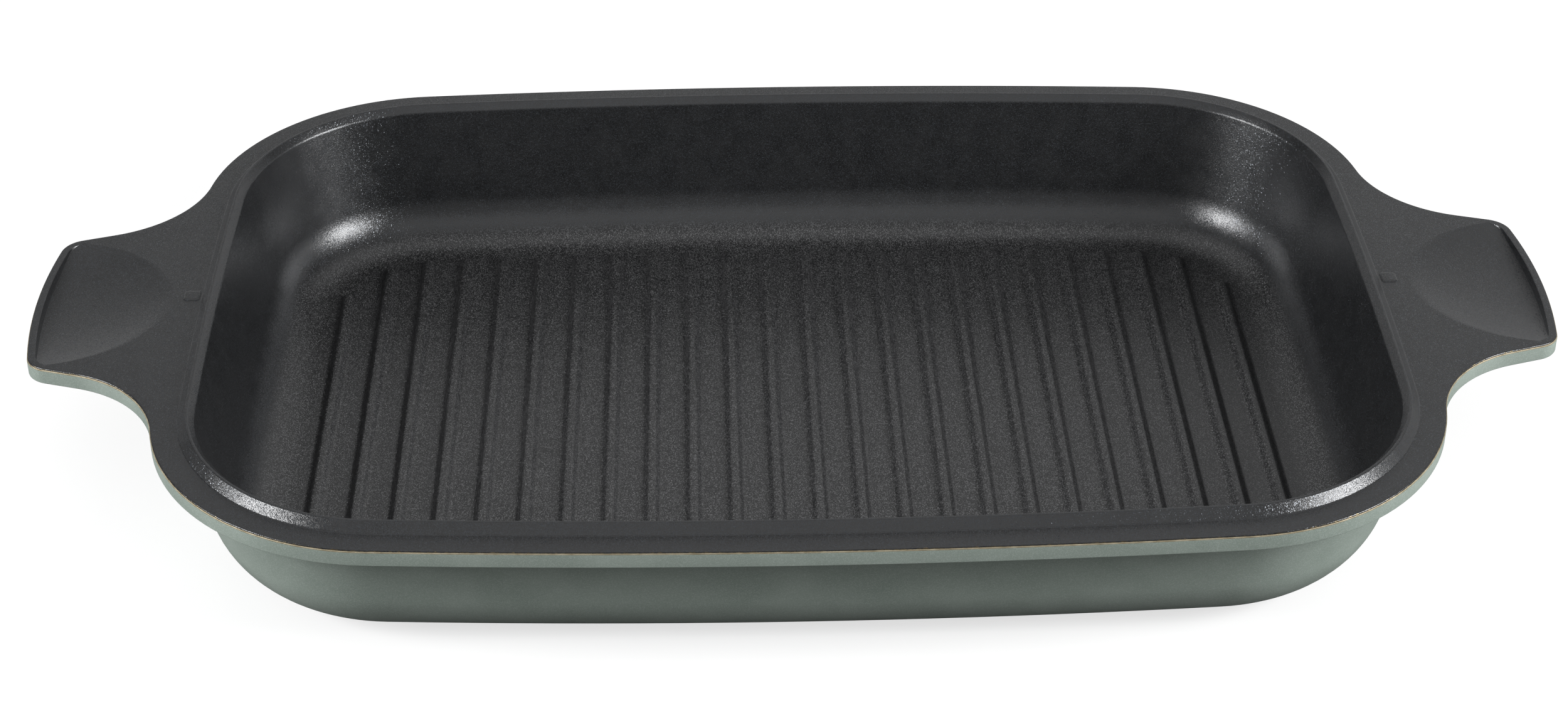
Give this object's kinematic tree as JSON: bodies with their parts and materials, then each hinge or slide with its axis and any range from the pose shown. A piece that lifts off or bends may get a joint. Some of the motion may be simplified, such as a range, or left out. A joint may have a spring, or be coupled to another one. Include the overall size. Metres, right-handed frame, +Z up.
{
  "type": "roasting pan",
  "caption": "Rectangular cast roasting pan with round corners, grill ribs on the floor, a raised lid lip and flat lug handles with thumb recesses; black non-stick inside, grey-green outside.",
  "frame": {"origin": "centre of the footprint, on the surface that the pan stands on", "axes": "+X along the length through both handles, +Y across the pan along the ribs, +Z up out of the bowl"},
  "size_m": [0.441, 0.254, 0.0485],
  "materials": {
    "cast_aluminium": "bare cast edge, warm grey",
    "black_nonstick": "satin black with fine metallic fleck",
    "green_coating": "satin metallic grey-green",
    "base_steel": "brushed"
  },
  "bodies": {
    "root": {"pan_casting": "cast_aluminium", "nonstick_lining": "black_nonstick", "outer_enamel": "green_coating", "induction_plate": "base_steel"}
  },
  "joints": []
}
